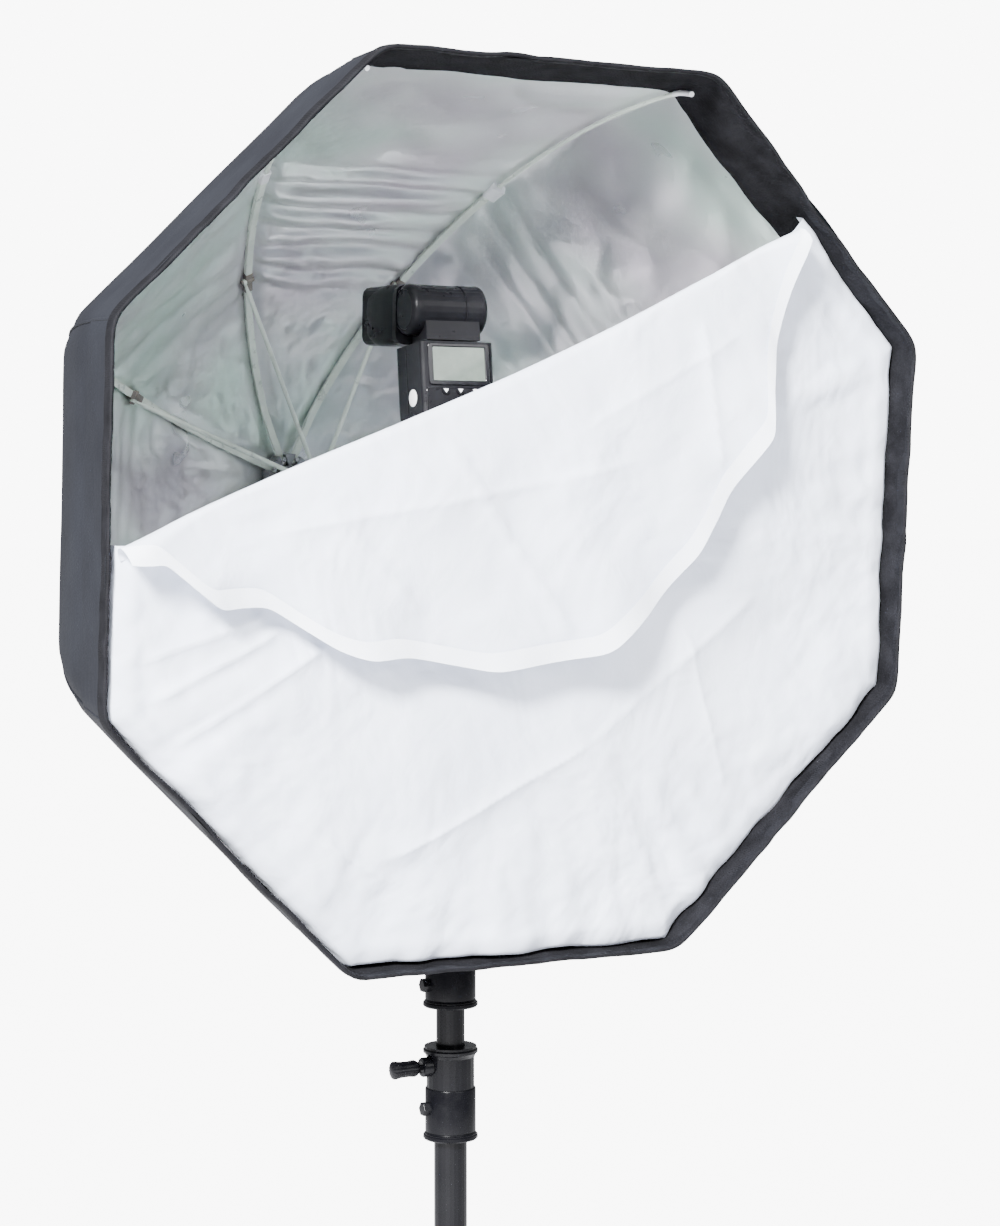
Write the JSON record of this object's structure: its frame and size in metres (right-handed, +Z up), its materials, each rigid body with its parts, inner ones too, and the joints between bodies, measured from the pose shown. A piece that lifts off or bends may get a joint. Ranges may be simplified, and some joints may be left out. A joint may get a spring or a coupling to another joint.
{
  "type": "studio softbox",
  "caption": "Folding umbrella softbox with a peeled-back front cloth, on a swivel bracket with a flash, held up by a telescopic light stand with folding legs.",
  "frame": {"origin": "on the floor, below the centre of the bounding box", "axes": "+Z up along the stand, the softbox's mouth towards -Y and its peak towards +Y"},
  "size_m": [0.785, 0.6798, 1.5989],
  "materials": {
    "silver_cloth": "satin silver lining, dark outside",
    "black_cloth": "matt woven",
    "white_cloth": "translucent matt cloth",
    "rod": "pale coated rod",
    "dark_metal": "dark satin",
    "black_plastic": "fine grain",
    "grey_plastic": "smooth",
    "lens": "prismatic lens",
    "screen": "glossy",
    "black_satin": "satin black",
    "rubber": "matt"
  },
  "bodies": {
    "lower_section": {"lower_tube": "black_satin", "lower_collar": "black_satin", "leg_collar": "black_satin"},
    "lower_clamp": {"lower_knob": "black_plastic"},
    "middle_section": {"middle_tube": "black_satin", "upper_collar": "black_satin"},
    "upper_clamp": {"upper_knob": "black_plastic"},
    "upper_section": {"upper_tube": "black_satin"},
    "bracket_base": {"bracket_socket": "black_plastic"},
    "socket_clamp": {"socket_screw": "black_plastic"},
    "tilt_clamp": {"tilt_lever": "black_plastic"},
    "bracket_head": {"tilt_head": "black_plastic", "cold_shoe": "dark_metal"},
    "shaft_clamp": {"umbrella_screw": "black_plastic"},
    "flash": {"flash_foot": "black_plastic", "flash_body": "black_plastic", "screen": "screen"},
    "lock_ring": {"lock_ring": "black_plastic"},
    "button_left": {"button_left": "grey_plastic"},
    "button_middle": {"button_middle": "grey_plastic"},
    "button_right": {"button_right": "grey_plastic"},
    "control_dial": {"control_dial": "grey_plastic"},
    "flash_neck": {"flash_neck": "black_plastic"},
    "flash_head": {"flash_head": "black_plastic", "head_lens": "lens"},
    "umbrella": {"shaft": "dark_metal", "crown": "dark_metal", "ferrule": "black_plastic", "canopy": "silver_cloth", "side_band": "black_cloth", "rim_tape": "black_cloth", "diffuser": "white_cloth"},
    "runner": {"runner": "dark_metal"},
    "flap": {"diffuser_flap": "white_cloth"},
    "brace_collar": {"brace_collar": "black_satin"},
    "rib_1": {"rib_1": "rod"},
    "stretcher_1": {"stretcher_1": "rod"},
    "rib_2": {"rib_2": "rod"},
    "stretcher_2": {"stretcher_2": "rod"},
    "rib_3": {"rib_3": "rod"},
    "stretcher_3": {"stretcher_3": "rod"},
    "rib_4": {"rib_4": "rod"},
    "stretcher_4": {"stretcher_4": "rod"},
    "rib_5": {"rib_5": "rod"},
    "stretcher_5": {"stretcher_5": "rod"},
    "rib_6": {"rib_6": "rod"},
    "stretcher_6": {"stretcher_6": "rod"},
    "rib_7": {"rib_7": "rod"},
    "stretcher_7": {"stretcher_7": "rod"},
    "rib_8": {"rib_8": "rod"},
    "stretcher_8": {"stretcher_8": "rod"},
    "leg_1": {"leg_1": "black_satin", "foot_1": "rubber"},
    "brace_1": {"brace_1": "black_satin"},
    "leg_2": {"leg_2": "black_satin", "foot_2": "rubber"},
    "brace_2": {"brace_2": "black_satin"},
    "leg_3": {"leg_3": "black_satin", "foot_3": "rubber"},
    "brace_3": {"brace_3": "black_satin"}
  },
  "joints": [
    {"name": "middle_tube_slide", "type": "slide", "parent": "lower_section", "child": "middle_section", "axis": [0, 0, 1], "range_m": [-0.03, 0.45]},
    {"name": "upper_tube_slide", "type": "slide", "parent": "middle_section", "child": "upper_section", "axis": [0, 0, 1], "range_m": [0, 0.4]},
    {"name": "lower_knob_turn", "type": "hinge", "parent": "lower_section", "child": "lower_clamp", "pos_m": [-0.03, -0.1081, 0.752], "axis": [1, 0, 0], "continuous": true},
    {"name": "upper_knob_turn", "type": "hinge", "parent": "middle_section", "child": "upper_clamp", "pos_m": [-0.03, -0.1081, 0.861], "axis": [1, 0, 0], "continuous": true},
    {"name": "bracket_pan", "type": "hinge", "parent": "upper_section", "child": "bracket_base", "pos_m": [0, -0.1081, 1.16], "axis": [0, 0, 1], "continuous": true},
    {"name": "socket_screw_turn", "type": "hinge", "parent": "bracket_base", "child": "socket_clamp", "pos_m": [0.02, -0.1081, 1.159], "axis": [1, 0, 0], "continuous": true},
    {"name": "tilt_lever_turn", "type": "hinge", "parent": "bracket_base", "child": "tilt_clamp", "pos_m": [0.016, -0.1081, 1.203], "axis": [1, 0, 0], "range_deg": [-30, 60]},
    {"name": "bracket_tilt", "type": "hinge", "parent": "bracket_base", "child": "bracket_head", "pos_m": [0, -0.1081, 1.203], "axis": [1, 0, 0], "range_deg": [-6, 3]},
    {"name": "umbrella_screw_turn", "type": "hinge", "parent": "bracket_head", "child": "shaft_clamp", "pos_m": [-0.02, -0.11127, 1.24287], "axis": [1, 0, 0], "continuous": true},
    {"name": "umbrella_slide", "type": "slide", "parent": "bracket_head", "child": "umbrella", "axis": [0, 0.9968, 0.0793], "range_m": [-0.015, 0.015]},
    {"name": "runner_slide", "type": "slide", "parent": "umbrella", "child": "runner", "axis": [0, -0.9968, -0.0793], "range_m": [0, 0.0677]},
    {"name": "rib_1_fold", "type": "hinge", "parent": "umbrella", "child": "rib_1", "pos_m": [-0.00498, 0.24235, 1.28306], "axis": [0.9239, -0.0304, 0.3815], "range_deg": [0, 6]},
    {"name": "stretcher_1_fold", "type": "hinge", "parent": "runner", "child": "stretcher_1", "pos_m": [-0.00999, 0.15562, 1.27625], "axis": [-0.9239, 0.0304, -0.3815], "range_deg": [0, 14.9]},
    {"name": "rib_2_fold", "type": "hinge", "parent": "umbrella", "child": "rib_2", "pos_m": [0.00498, 0.24235, 1.28306], "axis": [0.9239, 0.0304, -0.3815], "range_deg": [0, 6]},
    {"name": "stretcher_2_fold", "type": "hinge", "parent": "runner", "child": "stretcher_2", "pos_m": [0.00149, 0.15534, 1.27976], "axis": [-0.9239, -0.0304, 0.3815], "range_deg": [0, 14.9]},
    {"name": "rib_3_fold", "type": "hinge", "parent": "umbrella", "child": "rib_3", "pos_m": [0.01201, 0.24291, 1.27605], "axis": [0.3827, 0.0733, -0.921], "range_deg": [0, 6]},
    {"name": "stretcher_3_fold", "type": "hinge", "parent": "runner", "child": "stretcher_3", "pos_m": [0.0121, 0.15579, 1.27415], "axis": [-0.3827, -0.0733, 0.921], "range_deg": [0, 14.9]},
    {"name": "rib_4_fold", "type": "hinge", "parent": "umbrella", "child": "rib_4", "pos_m": [0.01201, 0.2437, 1.26613], "axis": [-0.3827, 0.0733, -0.921], "range_deg": [0, 6]},
    {"name": "stretcher_4_fold", "type": "hinge", "parent": "runner", "child": "stretcher_4", "pos_m": [0.01562, 0.1567, 1.2627], "axis": [0.3827, -0.0733, 0.921], "range_deg": [0, 14.9]},
    {"name": "rib_5_fold", "type": "hinge", "parent": "umbrella", "child": "rib_5", "pos_m": [0.00498, 0.24426, 1.25912], "axis": [-0.9239, 0.0304, -0.3815], "range_deg": [0, 6]},
    {"name": "stretcher_5_fold", "type": "hinge", "parent": "runner", "child": "stretcher_5", "pos_m": [0.00999, 0.15754, 1.25213], "axis": [0.9239, -0.0304, 0.3815], "range_deg": [0, 14.9]},
    {"name": "rib_6_fold", "type": "hinge", "parent": "umbrella", "child": "rib_6", "pos_m": [-0.00498, 0.24426, 1.25912], "axis": [-0.9239, -0.0304, 0.3815], "range_deg": [0, 6]},
    {"name": "stretcher_6_fold", "type": "hinge", "parent": "runner", "child": "stretcher_6", "pos_m": [-0.00149, 0.15782, 1.24862], "axis": [0.9239, 0.0304, -0.3815], "range_deg": [0, 14.9]},
    {"name": "rib_7_fold", "type": "hinge", "parent": "umbrella", "child": "rib_7", "pos_m": [-0.01201, 0.2437, 1.26613], "axis": [-0.3827, -0.0733, 0.921], "range_deg": [0, 6]},
    {"name": "stretcher_7_fold", "type": "hinge", "parent": "runner", "child": "stretcher_7", "pos_m": [-0.0121, 0.15737, 1.25423], "axis": [0.3827, 0.0733, -0.921], "range_deg": [0, 14.9]},
    {"name": "rib_8_fold", "type": "hinge", "parent": "umbrella", "child": "rib_8", "pos_m": [-0.01201, 0.24291, 1.27605], "axis": [0.3827, -0.0733, 0.921], "range_deg": [0, 6]},
    {"name": "stretcher_8_fold", "type": "hinge", "parent": "runner", "child": "stretcher_8", "pos_m": [-0.01562, 0.15646, 1.26568], "axis": [-0.3827, 0.0733, -0.921], "range_deg": [0, 14.9]},
    {"name": "flap_hinge", "type": "hinge", "parent": "umbrella", "child": "flap", "pos_m": [-0.05365, -0.27636, 1.35966], "axis": [-0.9239, 0.0304, -0.3815], "range_deg": [-4, 170]},
    {"name": "flash_slide", "type": "slide", "parent": "bracket_head", "child": "flash", "axis": [0, -0.9946, 0.1037], "range_m": [0, 0.022]},
    {"name": "lock_ring_turn", "type": "hinge", "parent": "flash", "child": "lock_ring", "pos_m": [0, -0.10775, 1.27669], "axis": [0, 0.1037, 0.9946], "range_deg": [-45, 45]},
    {"name": "button_left_press", "type": "slide", "parent": "flash", "child": "button_left", "axis": [0, 0.9946, -0.1037], "range_m": [0, 0.0012], "stiffness_N_per_m": 600},
    {"name": "button_middle_press", "type": "slide", "parent": "flash", "child": "button_middle", "axis": [0, 0.9946, -0.1037], "range_m": [0, 0.0012], "stiffness_N_per_m": 600},
    {"name": "button_right_press", "type": "slide", "parent": "flash", "child": "button_right", "axis": [0, 0.9946, -0.1037], "range_m": [0, 0.0012], "stiffness_N_per_m": 600},
    {"name": "control_dial_turn", "type": "hinge", "parent": "flash", "child": "control_dial", "pos_m": [0, -0.12857, 1.31807], "axis": [0, 0.9946, -0.1037], "continuous": true},
    {"name": "flash_neck_turn", "type": "hinge", "parent": "flash", "child": "flash_neck", "pos_m": [0, -0.09655, 1.38411], "axis": [0, 0.1037, 0.9946], "range_deg": [-180, 120]},
    {"name": "flash_head_tilt", "type": "hinge", "parent": "flash_neck", "child": "flash_head", "pos_m": [0, -0.09365, 1.41196], "axis": [1, 0, 0], "range_deg": [0, 82]},
    {"name": "leg_1_fold", "type": "hinge", "parent": "lower_section", "child": "leg_1", "pos_m": [0, -0.0641, 0.48], "axis": [-1, 0, 0], "range_deg": [0, 34]},
    {"name": "leg_2_fold", "type": "hinge", "parent": "lower_section", "child": "leg_2", "pos_m": [-0.0381, -0.1301, 0.48], "axis": [0.5, -0.866, 0], "range_deg": [0, 34]},
    {"name": "leg_3_fold", "type": "hinge", "parent": "lower_section", "child": "leg_3", "pos_m": [0.0381, -0.1301, 0.48], "axis": [0.5, 0.866, 0], "range_deg": [0, 34]},
    {"name": "brace_collar_slide", "type": "slide", "parent": "lower_section", "child": "brace_collar", "axis": [0, 0, 1], "range_m": [0, 0.03945]},
    {"name": "brace_1_fold", "type": "hinge", "parent": "brace_collar", "child": "brace_1", "pos_m": [0, -0.0781, 0.38027], "axis": [-1, 0, 0], "range_deg": [0, 45.56]},
    {"name": "brace_2_fold", "type": "hinge", "parent": "brace_collar", "child": "brace_2", "pos_m": [-0.02598, -0.1231, 0.38027], "axis": [0.5, -0.866, 0], "range_deg": [0, 45.56]},
    {"name": "brace_3_fold", "type": "hinge", "parent": "brace_collar", "child": "brace_3", "pos_m": [0.02598, -0.1231, 0.38027], "axis": [0.5, 0.866, 0], "range_deg": [0, 45.56]}
  ],
  "couplings": [
    {"joint": "rib_1_fold", "follows": "runner_slide", "rad_per_m": 1.5456},
    {"joint": "stretcher_1_fold", "follows": "runner_slide", "rad_per_m": 3.8352},
    {"joint": "rib_2_fold", "follows": "runner_slide", "rad_per_m": 1.5456},
    {"joint": "stretcher_2_fold", "follows": "runner_slide", "rad_per_m": 3.8352},
    {"joint": "rib_3_fold", "follows": "runner_slide", "rad_per_m": 1.5456},
    {"joint": "stretcher_3_fold", "follows": "runner_slide", "rad_per_m": 3.8352},
    {"joint": "rib_4_fold", "follows": "runner_slide", "rad_per_m": 1.5456},
    {"joint": "stretcher_4_fold", "follows": "runner_slide", "rad_per_m": 3.8352},
    {"joint": "rib_5_fold", "follows": "runner_slide", "rad_per_m": 1.5456},
    {"joint": "stretcher_5_fold", "follows": "runner_slide", "rad_per_m": 3.8352},
    {"joint": "rib_6_fold", "follows": "runner_slide", "rad_per_m": 1.5456},
    {"joint": "stretcher_6_fold", "follows": "runner_slide", "rad_per_m": 3.8352},
    {"joint": "rib_7_fold", "follows": "runner_slide", "rad_per_m": 1.5456},
    {"joint": "stretcher_7_fold", "follows": "runner_slide", "rad_per_m": 3.8352},
    {"joint": "rib_8_fold", "follows": "runner_slide", "rad_per_m": 1.5456},
    {"joint": "stretcher_8_fold", "follows": "runner_slide", "rad_per_m": 3.8352},
    {"joint": "brace_1_fold", "follows": "leg_1_fold", "ratio": 1.3396},
    {"joint": "brace_2_fold", "follows": "leg_1_fold", "ratio": 1.3396},
    {"joint": "leg_2_fold", "follows": "leg_1_fold", "ratio": 1},
    {"joint": "brace_3_fold", "follows": "leg_1_fold", "ratio": 1.3396},
    {"joint": "leg_3_fold", "follows": "leg_1_fold", "ratio": 1},
    {"joint": "brace_collar_slide", "follows": "leg_1_fold", "m_per_rad": 0.066467}
  ]
}
